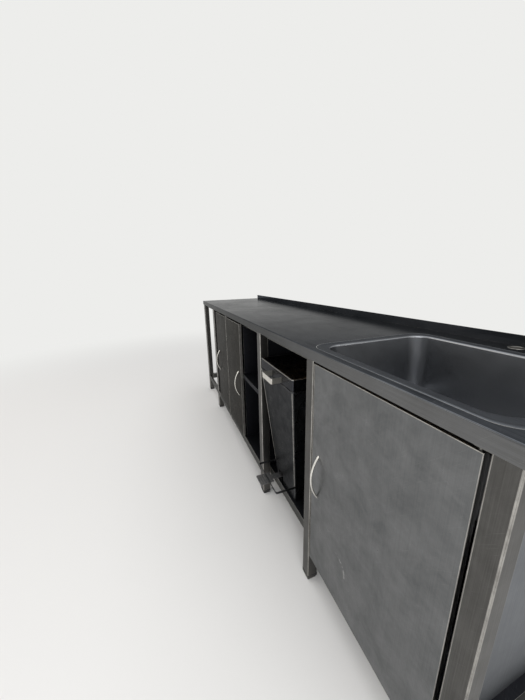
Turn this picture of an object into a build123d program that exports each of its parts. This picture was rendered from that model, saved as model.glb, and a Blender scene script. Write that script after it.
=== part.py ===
from build123d import *
import os

os.makedirs("parts", exist_ok=True)

# Driving dimensions, millimetres. X runs along the counter, Y from the aisle to the wall, Z is up.
bay_far = 401.0          # open bay at the far end
bay_cupboards = 1054.0   # bay with the paired doors and the open shelves
bay_bin = 424.0          # bay for the waste bin
bay_sink = 479.0         # cupboard under the sink
leg_size = 40.0          # square tube
leg_wall = 2.0
tube_corner = 2.0
plug_length = 24.0
end_overhang = 11.0
counter_height = 900.0
counter_depth = 560.0
nose = 3.0               # worktop nose in front of the legs
edge_height = 33.0
sheet = 2.0
fold_radius = 3.0        # outside of the folds in the worktop
board_thickness = 25.0
upstand_height = 32.0
back_setback = 15.0
foot_height = 22.0
foot_pad = 9.0
foot_taper = 3.0
rail_depth = 18.0
rail_top_height = 25.0
rail_low_height = 40.0
rail_low_top = 160.0
tube_wall = 2.0
tray_setback = 2.0       # cupboard tray behind the front of the low rail
tray_end_gap = 0.5       # between trays that meet on one cross rail

bowl_length = 500.0
bowl_width = 400.0
bowl_depth = 220.0
bowl_corner = 55.0
bowl_from_nose = 49.0
bowl_from_end = 55.0
bowl_floor_radius = 28.0
bowl_floor_bevel = 18.0
rim_width = 28.0
rim_seam = 0.6
mouth_bevel = 1.6
cut_clearance = 6.0
waste_radius = 45.0
waste_cup_radius = 38.0
waste_fit = 1.0
waste_flange_bevel = 4.0
waste_outlet_radius = 20.0
waste_length = 70.0
waste_cup_depth = 23.0
strainer_radius = 26.0
strainer_depth = 1.5     # strainer below the bowl's floor
strainer_slots = 6
strainer_slot_length = 10.0
strainer_slot_width = 3.5
strainer_slot_ring = 11.0
tap_hole_radius = 17.5
tap_from_bowl = 77.0

door_thickness = 13.0
door_top_gap = 8.0
pair_width = 645.0
pair_gap = 12.0
pair_proud = 8.0
pair_bottom = 166.0
sink_door_bottom = 130.0
sink_door_gap = 8.0
door_skin = 1.5
door_fold = 1.0          # bevel of the fold round the face
door_return = 16.0
shelf_bay = 277.0        # open shelves beside the paired doors
shelf_height = 566.0
shelf_lip = 22.0
shelf_setback = 6.0
inner_shelf_height = 500.0
inner_shelf_setback = 40.0
carcass_setback = 15.0
panel_flange = 12.0
shelf_side_setback = 1.0
post_size = 20.0
liner_gap = 10.0         # liner under the bowl

handle_length = 150.0
handle_reach = 27.0
handle_radius = 3.4
handle_flats = 6         # sides of the bar
handle_top = 567.0
pair_handle_inset = 55.0
sink_handle_inset = 36.0
pivot_radius = 3.0
pivot_clearance = 0.3
pivot_inset = 8.0
pin_entry = 8.0          # how far a pin stands in a door's edge
bracket_thickness = 3.0
bracket_margin = 8.0     # bracket past the middle of its pin
bracket_drop = 28.0
bracket_depth = 17.0
bracket_setback = 1.0

bin_top_width = 316.0
bin_top_depth = 374.0
bin_bottom_width = 184.0
bin_bottom_depth = 275.0
bin_corner = 8.0
bin_wall = 2.0
bin_base_height = 80.0
bin_side_gap = 7.0       # between the bin and the leg beside it
bin_front_setback = 1.0  # bin front behind the front of the legs
lid_top = 754.0
lid_skirt = 44.0
lid_gap = 5.0            # between the skirt and the body
lid_edge = 2.5
pull_width = 96.0
pull_offset = 20.0
pull_reach = 44.0
pull_height = 23.5
pull_strip = 3.0
pull_bend = 5.0
pull_above = 1.5         # above the lower edge of the skirt
knuckle_below = 6.0      # hinge line under the skirt
knuckle_behind = 12.0
knuckle_radius = 6.0
knuckle_length = 40.0
knuckle_spread = 88.0
lid_pin_radius = 3.0
arm_gap = 8.0
arm_thickness = 8.0
arm_margin = 5.0
arm_drop = 30.0
pedal_width = 64.0
pedal_depth = 65.0
pedal_offset = -46.0     # pedal beside the middle of the bin
pedal_reach = 66.0
pedal_thickness = 4.0
pedal_lip = 9.0
pedal_level = 198.0
pedal_arm = 30.0
pedal_ribs = 5
rib_pitch = 11.0
rib_width = 4.0
rib_height = 1.5
rib_margin = 6.0
pedal_pin_radius = 4.0
pedal_pin_behind = 25.0
pedal_clearance = 7.0
lug_thickness = 3.0
lug_depth = 18.0
lug_rise = 12.0

# Derived places.
total_length = bay_far + bay_cupboards + bay_bin + bay_sink + 5 * leg_size + 2 * end_overhang
total_depth = pedal_reach + counter_depth - nose
end_x = total_length / 2
leg_y = -total_depth / 2 + pedal_reach            # front face of the front legs
leg_rear = leg_y + leg_size
top_y0 = leg_y - nose
top_y1 = top_y0 + counter_depth
back_leg_y1 = top_y1 - back_setback
back_leg_y0 = back_leg_y1 - leg_size
board_top = counter_height - sheet
board_low = board_top - board_thickness           # legs and panels reach this
apron_low = counter_height - edge_height
top_z0 = board_low - rail_top_height
cross_z0 = rail_low_top - rail_low_height
floor_top = rail_low_top + sheet
recess_y = leg_rear - rail_depth                  # front face of the top rails
panel_y1 = back_leg_y0 - rail_depth               # front face of the back rails

leg_x = [-end_x + end_overhang + leg_size / 2]    # leg centres from far to near
for width in (bay_far, bay_cupboards, bay_bin, bay_sink):
    leg_x.append(leg_x[-1] + leg_size + width)
bays = [(a + leg_size / 2, b - leg_size / 2) for a, b in zip(leg_x, leg_x[1:])]
far_bay, cupboard_bay, bin_bay, sink_bay = bays
whole = (leg_x[0] - leg_size / 2, leg_x[-1] + leg_size / 2)
leg_rows = (("legs_front", leg_y), ("legs_back", back_leg_y0))


def block(x0, x1, y0, y1, z0, z1, mode=Mode.ADD):
    with Locations(((x0 + x1) / 2, (y0 + y1) / 2, (z0 + z1) / 2)):
        Box(x1 - x0, y1 - y0, z1 - z0, mode=mode)


# Sheet folded along a line of points in the plane, drawn so that its thickness lies on the right.
def folded(plane, points, length, thickness=sheet):
    with BuildSketch(plane) as profile:
        with BuildLine():
            Polyline(*points)
            offset(amount=thickness, side=Side.RIGHT)
        make_face()
    extrude(profile.sketch, amount=length)


# Square or rectangular tube between two points, with its width and height across it.
def tube(start, end, width, height, wall=tube_wall):
    run = Vector(*end) - Vector(*start)
    across = (0, 1, 0) if abs(run.X) > abs(run.Y) else (1, 0, 0)
    with BuildSketch(Plane(origin=start, x_dir=across, z_dir=run.normalized())) as profile:
        Rectangle(width, height)
        Rectangle(width - 2 * wall, height - 2 * wall, mode=Mode.SUBTRACT)
    extrude(profile.sketch, amount=run.length)


def save(piece, name):
    piece.part.label = name
    export_step(piece.part, "parts/" + name + ".step")


# Sink places.
bowl_x1 = end_x - bowl_from_end
bowl_cx = bowl_x1 - bowl_length / 2
bowl_y0 = top_y0 + bowl_from_nose
bowl_y1 = bowl_y0 + bowl_width
bowl_cy = (bowl_y0 + bowl_y1) / 2
bowl_low = counter_height - bowl_depth
bowl_floor = bowl_low + sheet
tap_y = bowl_y1 + tap_from_bowl
rim_x = bowl_length + 2 * rim_width
rim_y = bowl_width + 2 * rim_width

# Worktop skin: a folded pan with aprons on all sides and an upstand along the wall. The sink's rim lies
# flush in it on the board, with a fine seam round it.
with BuildPart() as worktop_skin:
    with BuildSketch(Plane.XY.offset(counter_height)):
        with Locations((0, (top_y0 + top_y1) / 2)):
            Rectangle(total_length, counter_depth)
    extrude(amount=-edge_height)
    offset(amount=-sheet, openings=worktop_skin.faces().sort_by(Axis.Z)[0])
    fillet(worktop_skin.faces().sort_by(Axis.Z)[-1].edges().sort_by(Axis.Y)[:-1], fold_radius)
    with BuildSketch(Plane.XY.offset(counter_height)):
        with Locations((0, top_y1 - sheet / 2)):
            Rectangle(total_length, sheet)
    extrude(amount=upstand_height)
    with BuildSketch(Plane.XY.offset(counter_height)):
        with Locations((bowl_cx, bowl_cy)):
            RectangleRounded(rim_x + 2 * rim_seam, rim_y + 2 * rim_seam, bowl_corner + rim_seam)
        with Locations((bowl_cx, tap_y)):
            Circle(tap_hole_radius)
    extrude(amount=-edge_height, mode=Mode.SUBTRACT)
save(worktop_skin, "worktop_skin")

# Board under the skin, cut for the bowl and the tap.
with BuildPart() as worktop_board:
    with BuildSketch(Plane.XY.offset(board_low)):
        with Locations((0, (top_y0 + top_y1) / 2)):
            Rectangle(total_length - 2 * sheet, counter_depth - 2 * sheet)
        with Locations((bowl_cx, bowl_cy)):
            RectangleRounded(bowl_length + 2 * cut_clearance, bowl_width + 2 * cut_clearance,
                             bowl_corner + cut_clearance, mode=Mode.SUBTRACT)
        with Locations((bowl_cx, tap_y)):
            Circle(tap_hole_radius, mode=Mode.SUBTRACT)
    extrude(amount=board_thickness)
save(worktop_board, "worktop_board")

# Pressed bowl with a flat rim, a softened mouth and a floor that runs up into the walls.
with BuildPart() as sink_bowl:
    with BuildSketch(Plane.XY.offset(bowl_low)):
        with Locations((bowl_cx, bowl_cy)):
            RectangleRounded(bowl_length, bowl_width, bowl_corner)
    extrude(amount=bowl_depth - sheet)
    chamfer(sink_bowl.faces().sort_by(Axis.Z)[0].edges(), bowl_floor_bevel)
    with BuildSketch(Plane.XY.offset(board_top)):
        with Locations((bowl_cx, bowl_cy)):
            RectangleRounded(rim_x, rim_y, bowl_corner)
    extrude(amount=sheet)
    with BuildSketch(Plane.XY.offset(bowl_floor)):
        with Locations((bowl_cx, bowl_cy)):
            RectangleRounded(bowl_length - 2 * sheet, bowl_width - 2 * sheet, bowl_corner - sheet)
    cavity = extrude(amount=bowl_depth - sheet, mode=Mode.PRIVATE)
    cavity = cavity.fillet(bowl_floor_radius, cavity.faces().sort_by(Axis.Z)[0].edges())
    add(cavity, mode=Mode.SUBTRACT)
    chamfer(sink_bowl.faces().sort_by(Axis.Z)[-1].inner_wires()[0].edges(), mouth_bevel)
    with Locations((bowl_cx, bowl_cy, bowl_floor)):
        Hole(waste_cup_radius + waste_fit)
save(sink_bowl, "sink_bowl")

# Waste fitting: a flanged cup in the bowl's floor, closed by a strainer with a ring of slots, over a tail.
strainer_top = bowl_floor - strainer_depth
with BuildPart() as sink_waste:
    with BuildSketch(Plane(origin=(bowl_cx, bowl_cy, 0), x_dir=(1, 0, 0), z_dir=(0, -1, 0))):
        with BuildLine():
            Polyline((0, strainer_top - sheet),
                     (waste_outlet_radius - sheet, strainer_top - sheet),
                     (waste_outlet_radius - sheet, bowl_floor - waste_length),
                     (waste_outlet_radius, bowl_floor - waste_length),
                     (waste_outlet_radius, bowl_floor - waste_cup_depth),
                     (waste_cup_radius, bowl_floor - waste_cup_depth),
                     (waste_cup_radius, bowl_floor),
                     (waste_radius, bowl_floor),
                     (waste_radius - waste_flange_bevel, bowl_floor + sheet),
                     (strainer_radius, strainer_top),
                     (0, strainer_top), close=True)
        make_face()
    revolve(axis=Axis((bowl_cx, bowl_cy, 0), (0, 0, 1)))
    with BuildSketch(Plane.XY.offset(strainer_top)):
        with Locations((bowl_cx, bowl_cy)):
            with PolarLocations(strainer_slot_ring, strainer_slots):
                Rectangle(strainer_slot_length, strainer_slot_width)
    extrude(amount=-sheet, mode=Mode.SUBTRACT)
save(sink_waste, "sink_waste")

# Legs, cross rails and feet, one of each for every leg line.
for name, y0 in leg_rows:
    middles = [(x, y0 + leg_size / 2) for x in leg_x]
    with BuildPart() as legs:
        with BuildSketch(Plane.XY.offset(foot_height)) as section:
            with Locations(*middles):
                Rectangle(leg_size, leg_size)
            chamfer(section.vertices(), tube_corner)
            with Locations(*middles):
                Rectangle(leg_size - 2 * leg_wall, leg_size - 2 * leg_wall, mode=Mode.SUBTRACT)
        extrude(amount=board_low - foot_height)
    save(legs, name)
with BuildPart() as cross_rails:
    for x in leg_x:
        z = (cross_z0 + rail_low_top) / 2
        tube((x, leg_rear, z), (x, back_leg_y0, z), leg_size, rail_low_height)
save(cross_rails, "cross_rails")
foot_levels = (
    # low z, high z, width across
    (0, foot_pad, leg_size - 2 * foot_taper),
    (foot_pad, foot_height, leg_size),
    (foot_height, foot_height + plug_length, leg_size - 2 * leg_wall),
)
with BuildPart() as feet:
    for z0, z1, across in foot_levels:
        with BuildSketch(Plane.XY.offset(z0)):
            with Locations(*[(x, y0 + leg_size / 2) for x in leg_x for name, y0 in leg_rows]):
                Rectangle(across, across)
        extrude(amount=z1 - z0)
save(feet, "feet")

# Rails: straight tubes that run from leg to leg, or past all the legs at the back.
rails = (
    # name, runs in x, front y, low z, high z
    ("top_rails_front", bays, recess_y, top_z0, board_low),
    ("low_rails_front", (far_bay, cupboard_bay), leg_y, cross_z0, rail_low_top),
    ("low_rails_set_back", (bin_bay, sink_bay), leg_rear, cross_z0, rail_low_top),
    ("top_rail_back", (whole,), panel_y1, top_z0, board_low),
    ("low_rail_back", (whole,), panel_y1, cross_z0 - rail_low_height, cross_z0),
)
for name, runs, y0, z0, z1 in rails:
    y, z = y0 + rail_depth / 2, (z0 + z1) / 2
    with BuildPart() as rail:
        for x0, x1 in runs:
            tube((x0, y, z), (x1, y, z), rail_depth, z1 - z0)
    save(rail, name)

# Floor trays: sheets that lie on the low rails and the cross rails, with a lip at the back.
trays = (
    # name, bay, front y
    ("floor_cupboards", cupboard_bay, leg_y + tray_setback),
    ("floor_bin", bin_bay, leg_rear),
    ("floor_sink", sink_bay, leg_rear),
)
for name, (x0, x1), y0 in trays:
    wide = x1 - x0 + leg_size - 2 * tray_end_gap
    with BuildPart() as tray:
        with BuildSketch(Plane.XY.offset(rail_low_top)):
            with Locations(((x0 + x1) / 2, (y0 + back_leg_y0) / 2)):
                Rectangle(x1 - x0, back_leg_y0 - y0)
            with Locations(((x0 + x1) / 2, (leg_rear + back_leg_y0) / 2)):
                Rectangle(wide, back_leg_y0 - leg_rear)
        extrude(amount=sheet)
        with BuildSketch(Plane.XY.offset(floor_top)):
            with Locations(((x0 + x1) / 2, back_leg_y0 - sheet / 2)):
                Rectangle(wide, sheet)
        extrude(amount=shelf_lip)
    save(tray, name)

# Cupboard with paired doors: two flanged sides, a back, a centre post and an inner shelf.
shelf_x1 = cupboard_bay[1]
shelf_x0 = shelf_x1 - shelf_bay
pair_x0 = shelf_x0 - pair_width
pair_cx = (pair_x0 + shelf_x0) / 2
front_y = leg_y + carcass_setback
panel_front = panel_y1 - sheet
upright = top_z0 - floor_top
with BuildPart() as cupboard_side_far:
    folded(Plane.XY.offset(floor_top),
           ((pair_x0, panel_front), (pair_x0, front_y), (pair_x0 + panel_flange, front_y))[::-1], upright)
save(cupboard_side_far, "cupboard_side_far")
with BuildPart() as cupboard_side_near:
    folded(Plane.XY.offset(floor_top),
           ((shelf_x0, panel_front), (shelf_x0, front_y), (shelf_x0 - panel_flange, front_y)), upright)
save(cupboard_side_near, "cupboard_side_near")
with BuildPart() as shelf_side:
    block(shelf_x1 - sheet, shelf_x1, leg_y + shelf_side_setback, panel_front, floor_top, top_z0)
save(shelf_side, "shelf_side")
with BuildPart() as cupboard_back:
    block(pair_x0, shelf_x1, panel_front, panel_y1, floor_top, board_low)
save(cupboard_back, "cupboard_back")
post_x0, post_x1 = pair_cx - post_size / 2, pair_cx + post_size / 2
with BuildPart() as cupboard_post:
    folded(Plane.XY.offset(floor_top), ((post_x1, front_y + post_size), (post_x1, front_y), (post_x0, front_y),
                                        (post_x0, front_y + post_size)), upright)
save(cupboard_post, "cupboard_post")

# Folded shelves with a lip down the front and the back.
shelves = (
    # name, low x, high x, front y, top z
    ("cupboard_shelf", pair_x0 + sheet, shelf_x0 - sheet, front_y + inner_shelf_setback, inner_shelf_height),
    ("open_shelf", shelf_x0, shelf_x1 - sheet, leg_y + shelf_setback, shelf_height),
)
for name, x0, x1, y0, top in shelves:
    with BuildPart() as shelf:
        folded(Plane.YZ.offset(x0), ((y0, top - shelf_lip), (y0, top), (panel_front, top),
                                     (panel_front, top - shelf_lip)), x1 - x0)
    save(shelf, name)

# Sink cupboard liner: one sheet folded round both sides and the back, kept under the bowl.
sink_x0, sink_x1 = sink_bay
with BuildPart() as sink_liner:
    folded(Plane.XY.offset(floor_top), ((sink_x0, leg_rear), (sink_x0, panel_y1), (sink_x1, panel_y1),
                                        (sink_x1, leg_rear)), bowl_low - liner_gap - floor_top)
save(sink_liner, "sink_liner")

# Doors: folded pans with returned edges, a bow handle and holes for the pivot pins in both edges.
door_top = apron_low - door_top_gap
leaf = (pair_width - pair_gap) / 2
doors = (
    # name, hinge x, direction of the leaf, width, front y, bottom z, handle inset
    ("sink", sink_x1 - sink_door_gap, -1, bay_sink - 2 * sink_door_gap, leg_y, sink_door_bottom,
     sink_handle_inset),
    ("pair_near", pair_cx + pair_gap / 2, 1, leaf, leg_y - pair_proud, pair_bottom, pair_handle_inset),
    ("pair_far", pair_cx - pair_gap / 2, -1, leaf, leg_y - pair_proud, pair_bottom, pair_handle_inset),
)
for name, hinge_x, way, width, y0, z0, inset in doors:
    middle = (hinge_x + way * width / 2, (z0 + door_top) / 2)
    with BuildPart() as door:
        with BuildSketch(Plane.XZ.offset(-y0 - door_thickness)):
            with Locations(middle):
                Rectangle(width, door_top - z0)
        extrude(amount=door_thickness)
        offset(amount=-door_skin, mode=Mode.SUBTRACT)
        with BuildSketch(Plane.XZ.offset(-y0 - door_thickness)):
            with Locations(middle):
                Rectangle(width - 2 * door_return, door_top - z0 - 2 * door_return)
        extrude(amount=door_skin, mode=Mode.SUBTRACT)
        chamfer(door.faces().sort_by(Axis.Y)[0].edges(), door_fold)
        with Locations((hinge_x + way * pivot_inset, y0 + door_thickness / 2, door_top)):
            Hole(pivot_radius + pivot_clearance)
    save(door, "door_" + name)
    handle_x = hinge_x + way * (width - inset)
    with BuildPart() as handle:
        with BuildLine() as bow:
            ThreePointArc((handle_x, y0 + door_skin, handle_top - handle_length),
                          (handle_x, y0 - handle_reach + handle_radius, handle_top - handle_length / 2),
                          (handle_x, y0 + door_skin, handle_top))
        with BuildSketch(Plane(origin=bow.line @ 0, z_dir=bow.line % 0)):
            RegularPolygon(handle_radius, handle_flats)
        sweep()
        split(bisect_by=Plane.XZ.offset(-y0), keep=Keep.TOP)
    save(handle, "handle_" + name)


# Pivot brackets: folded strips and plates with upright pins that stand in the doors' edges.
def pins(xs, y, z0, z1):
    for x in xs:
        with Locations((x, y, (z0 + z1) / 2)):
            Cylinder(pivot_radius, z1 - z0)


pair_pins = [pair_cx + s * (pair_gap / 2 + pivot_inset) for s in (-1, 1)]
pair_pin_y = leg_y - pair_proud + door_thickness / 2
plate_x0, plate_x1 = pair_pins[0] - bracket_margin, pair_pins[1] + bracket_margin
plate_y = leg_y - pair_proud + bracket_setback
with BuildPart() as pivot_pair_low:
    folded(Plane.YZ.offset(plate_x0), ((plate_y, rail_low_top), (leg_y, rail_low_top),
                                       (leg_y, rail_low_top - bracket_drop)), plate_x1 - plate_x0,
           bracket_thickness)
    pins(pair_pins, pair_pin_y, rail_low_top, pair_bottom + pin_entry)
save(pivot_pair_low, "pivot_pair_low")
with BuildPart() as pivot_pair_top:
    block(plate_x0, plate_x1, plate_y, recess_y, apron_low - bracket_thickness, apron_low)
    pins(pair_pins, pair_pin_y, door_top - pin_entry, apron_low - bracket_thickness)
save(pivot_pair_top, "pivot_pair_top")

sink_pin = sink_x1 - sink_door_gap - pivot_inset
sink_pin_y = leg_y + door_thickness / 2
sink_plate_x = sink_pin - bracket_margin
shelf_z = sink_door_bottom - door_top_gap + bracket_setback
with BuildPart() as pivot_sink_low:
    folded(Plane.XZ.offset(-leg_y - bracket_setback - bracket_depth),
           ((sink_plate_x, shelf_z), (sink_x1, shelf_z), (sink_x1, shelf_z - bracket_drop)), bracket_depth,
           bracket_thickness)
    pins([sink_pin], sink_pin_y, shelf_z, sink_door_bottom + pin_entry)
save(pivot_sink_low, "pivot_sink_low")
with BuildPart() as pivot_sink_top:
    block(sink_plate_x, sink_x1, leg_y + bracket_setback, recess_y, apron_low - bracket_thickness, apron_low)
    pins([sink_pin], sink_pin_y, door_top - pin_entry, apron_low - bracket_thickness)
save(pivot_sink_top, "pivot_sink_top")

# Waste bin: a base that holds the pedal, a tapered body, a hinged lid with a pull.
lid_low = lid_top - lid_skirt
body_top = lid_low - lid_gap
base_top = floor_top + bin_base_height
bin_cx = bin_bay[0] + bin_side_gap + bin_top_width / 2
bin_front = leg_y + bin_front_setback
bin_cy = bin_front + bin_top_depth / 2
bin_rear = bin_cy + bin_top_depth / 2


def bin_size(z):
    share = (z - floor_top) / (body_top - floor_top)
    return (bin_bottom_width + (bin_top_width - bin_bottom_width) * share,
            bin_bottom_depth + (bin_top_depth - bin_bottom_depth) * share)


# Tapered form between two levels: the front's outline drawn along Y, kept within the side's outline.
def bin_form(z0, z1):
    views = (
        # plane, which size it shows, mode
        (Plane(origin=(bin_cx, bin_cy, 0), x_dir=(1, 0, 0), z_dir=(0, -1, 0)), 0, Mode.ADD),
        (Plane(origin=(bin_cx, bin_cy, 0), x_dir=(0, 1, 0), z_dir=(1, 0, 0)), 1, Mode.INTERSECT),
    )
    for plane, side, mode in views:
        low, high = bin_size(z0)[side] / 2, bin_size(z1)[side] / 2
        with BuildSketch(plane) as outline:
            with BuildLine():
                Polyline((-low, z0), (low, z0), (high, z1), (-high, z1), close=True)
            make_face()
        extrude(outline.sketch, amount=max(bin_top_width, bin_top_depth), both=True, mode=mode)


def steep(edge):
    return abs(edge.tangent_at(0).Z) > 0.5


pedal_x = bin_cx + pedal_offset
pedal_top = pedal_level + pedal_thickness / 2
pedal_pin_y = bin_cy - bin_bottom_depth / 2 + pedal_pin_behind
lug_x = pedal_arm / 2 + pedal_clearance + lug_thickness / 2
with BuildPart() as bin_base:
    bin_form(floor_top, base_top)
    fillet(bin_base.edges().filter_by(steep), bin_corner)
    offset(amount=-bin_wall, openings=bin_base.faces().sort_by(Axis.Z)[-1])
    slot = pedal_arm / 2 + pedal_clearance
    block(pedal_x - slot, pedal_x + slot, bin_front, pedal_pin_y - lug_depth / 2, floor_top + bin_wall,
          pedal_top + lug_rise, Mode.SUBTRACT)
    for s in (-1, 1):
        x = pedal_x + s * lug_x
        block(x - lug_thickness / 2, x + lug_thickness / 2, pedal_pin_y - lug_depth / 2,
              pedal_pin_y + lug_depth / 2, floor_top + bin_wall, pedal_top + lug_rise)
    with Locations((pedal_x, pedal_pin_y, pedal_level)):
        Cylinder(pedal_pin_radius + pivot_clearance, 2 * lug_x + 2 * lug_thickness, rotation=(0, 90, 0),
                 mode=Mode.SUBTRACT)
save(bin_base, "bin_base")

with BuildPart() as bin_body:
    bin_form(base_top, body_top)
    fillet(bin_body.edges().filter_by(steep), bin_corner)
    bin_outside = bin_body.part
    offset(amount=-bin_wall, openings=bin_body.faces().sort_by(Axis.Z)[-1])
save(bin_body, "bin_body")

# Lid: a shallow pan turned over, with two knuckles on tabs that reach down behind the body.
lid_pin_y = bin_rear + knuckle_behind
lid_pin_z = lid_low - knuckle_below
with BuildPart() as bin_lid:
    with BuildSketch(Plane.XY.offset(lid_low)):
        with Locations((bin_cx, bin_cy)):
            RectangleRounded(bin_top_width, bin_top_depth, bin_corner)
    extrude(amount=lid_skirt)
    offset(amount=-bin_wall, openings=bin_lid.faces().sort_by(Axis.Z)[0])
    chamfer(bin_lid.faces().sort_by(Axis.Z)[-1].edges(), lid_edge)
    for s in (-1, 1):
        with BuildSketch(Plane.YZ.offset(bin_cx + s * knuckle_spread - knuckle_length / 2)):
            with BuildLine():
                Polyline((bin_rear - bin_wall / 2, lid_low),
                         (lid_pin_y - knuckle_radius, lid_low),
                         (lid_pin_y - knuckle_radius, lid_pin_z),
                         (lid_pin_y + knuckle_radius, lid_pin_z),
                         (lid_pin_y + knuckle_radius, lid_low + knuckle_radius),
                         (bin_rear - bin_wall / 2, lid_low + knuckle_radius), close=True)
            make_face()
            with Locations((lid_pin_y, lid_pin_z)):
                Circle(knuckle_radius)
                Circle(lid_pin_radius + pivot_clearance, mode=Mode.SUBTRACT)
        extrude(amount=knuckle_length)
save(bin_lid, "bin_lid")

# Hinge: one long pin on three arms that stand out from the body's back.
arm_spread = knuckle_spread + knuckle_length / 2 + arm_gap + arm_thickness / 2
arm_low = lid_pin_z - arm_drop
arm_root = bin_cy + bin_size(arm_low)[1] / 2
with BuildPart() as bin_hinge:
    for s in (-1, 0, 1):
        with BuildSketch(Plane.YZ.offset(bin_cx + s * arm_spread - arm_thickness / 2)):
            with BuildLine():
                Polyline((arm_root - 2 * bin_wall, arm_low), (arm_root + bin_wall, arm_low),
                         (lid_pin_y + arm_margin, lid_pin_z - arm_margin),
                         (lid_pin_y + arm_margin, lid_pin_z + arm_margin),
                         (lid_pin_y - arm_margin, lid_pin_z + arm_margin),
                         (lid_pin_y - arm_margin, body_top - bin_wall),
                         (arm_root - 2 * bin_wall, body_top - bin_wall), close=True)
            make_face()
        extrude(amount=arm_thickness)
    with Locations((bin_cx, lid_pin_y, lid_pin_z)):
        Cylinder(lid_pin_radius, 2 * arm_spread + arm_thickness, rotation=(0, 90, 0))
    add(bin_outside, mode=Mode.SUBTRACT)
save(bin_hinge, "bin_hinge")

# Pull: a flat strip bent into a U and set on the front of the skirt.
pull_x = bin_cx + pull_offset
pull_x0, pull_x1 = pull_x - pull_width / 2, pull_x + pull_width / 2
with BuildPart() as bin_lid_pull:
    with BuildSketch(Plane.XY.offset(lid_low + pull_above)):
        with BuildLine():
            FilletPolyline((pull_x0, bin_front), (pull_x0, bin_front - pull_reach),
                           (pull_x1, bin_front - pull_reach), (pull_x1, bin_front), radius=pull_bend)
            offset(amount=pull_strip, side=Side.LEFT)
        make_face()
    extrude(amount=pull_height)
save(bin_lid_pull, "bin_lid_pull")

# Pedal: a ribbed plate with a lip down its front, on an arm that turns on a pin in the base.
pedal_front = leg_y - pedal_reach
pedal_back = pedal_front + pedal_depth
with BuildPart() as bin_pedal:
    folded(Plane.YZ.offset(pedal_x - pedal_width / 2),
           ((pedal_front, pedal_top - pedal_lip), (pedal_front, pedal_top), (pedal_back, pedal_top)),
           pedal_width, pedal_thickness)
    with BuildSketch(Plane.XY.offset(pedal_top)):
        with Locations((pedal_x, (pedal_front + pedal_back) / 2)):
            with GridLocations(pedal_width, rib_pitch, 1, pedal_ribs):
                Rectangle(pedal_width - 2 * rib_margin, rib_width)
    extrude(amount=rib_height)
    block(pedal_x - pedal_arm / 2, pedal_x + pedal_arm / 2, pedal_back, pedal_pin_y,
          pedal_top - pedal_thickness, pedal_top)
    with Locations((pedal_x, pedal_pin_y, pedal_level)):
        Cylinder(pedal_pin_radius, 2 * lug_x + lug_thickness, rotation=(0, 90, 0))
save(bin_pedal, "bin_pedal")
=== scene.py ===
# %% [markdown]
# # A stainless steel kitchen counter for a food trailer
# The counter is made of folded sheet and square tube: a long worktop with a pressed sink, hinged doors, open
# shelves and a pedal bin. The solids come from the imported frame, in metres. This script gives them their
# finishes, replaces the pieces whose curves need a finer mesh, and adds the small parts that a fitter would.

import math

import bmesh
import bpy
from mathutils import Matrix, Vector


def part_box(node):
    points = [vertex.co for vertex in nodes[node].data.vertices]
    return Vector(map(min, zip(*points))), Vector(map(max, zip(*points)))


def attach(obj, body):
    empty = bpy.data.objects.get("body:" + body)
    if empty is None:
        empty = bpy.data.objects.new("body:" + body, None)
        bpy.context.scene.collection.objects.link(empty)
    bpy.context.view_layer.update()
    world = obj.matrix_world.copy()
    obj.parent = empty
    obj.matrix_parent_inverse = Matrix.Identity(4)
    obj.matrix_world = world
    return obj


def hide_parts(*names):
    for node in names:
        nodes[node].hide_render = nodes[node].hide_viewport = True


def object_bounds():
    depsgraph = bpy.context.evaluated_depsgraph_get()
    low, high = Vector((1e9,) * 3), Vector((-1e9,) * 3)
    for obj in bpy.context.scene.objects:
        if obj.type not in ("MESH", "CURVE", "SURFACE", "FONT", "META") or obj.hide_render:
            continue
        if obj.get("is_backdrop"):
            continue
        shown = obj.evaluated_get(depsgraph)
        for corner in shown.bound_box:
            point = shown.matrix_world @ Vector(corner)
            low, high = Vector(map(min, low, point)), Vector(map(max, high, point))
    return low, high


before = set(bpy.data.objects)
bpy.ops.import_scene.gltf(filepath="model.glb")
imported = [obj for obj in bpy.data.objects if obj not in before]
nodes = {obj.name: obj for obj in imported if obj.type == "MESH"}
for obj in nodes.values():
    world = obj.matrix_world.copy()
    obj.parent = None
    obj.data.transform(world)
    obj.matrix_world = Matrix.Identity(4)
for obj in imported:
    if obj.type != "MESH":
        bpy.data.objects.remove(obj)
cad_low, cad_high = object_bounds()
mm = 0.001
print("counter", [round(v / mm) for v in cad_high - cad_low], "mm")

# %% [markdown]
# ## Small tools
# A colour is written as the eye sees it, in sRGB hex, but Blender mixes light in linear values, so one
# function turns it. A second one adds a shader node and links or sets its inputs in one line. A third starts
# a material, whose patterns all read Object coordinates, so that they keep their real size on any piece.

# %% Colour and node helpers


def linear(code):
    parts = [int(code[i:i + 2], 16) / 255 for i in (0, 2, 4)]
    return [p / 12.92 if p <= 0.04045 else ((p + 0.055) / 1.055) ** 2.4 for p in parts] + [1.0]


def add(tree, kind, inputs=None, **settings):
    node = tree.nodes.new(kind)
    for key, value in settings.items():
        setattr(node, key, value)
    for key, value in (inputs or {}).items():
        if isinstance(value, bpy.types.NodeSocket):
            tree.links.new(value, node.inputs[key])
        else:
            node.inputs[key].default_value = value
    return node


def new_material(name):
    material = bpy.data.materials.new(name)
    material.use_nodes = True
    tree = material.node_tree
    return material, tree, tree.nodes["Principled BSDF"], add(tree, "ShaderNodeTexCoord").outputs["Object"]


print("half grey is", round(linear("808080")[0], 3), "in linear light")

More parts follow.
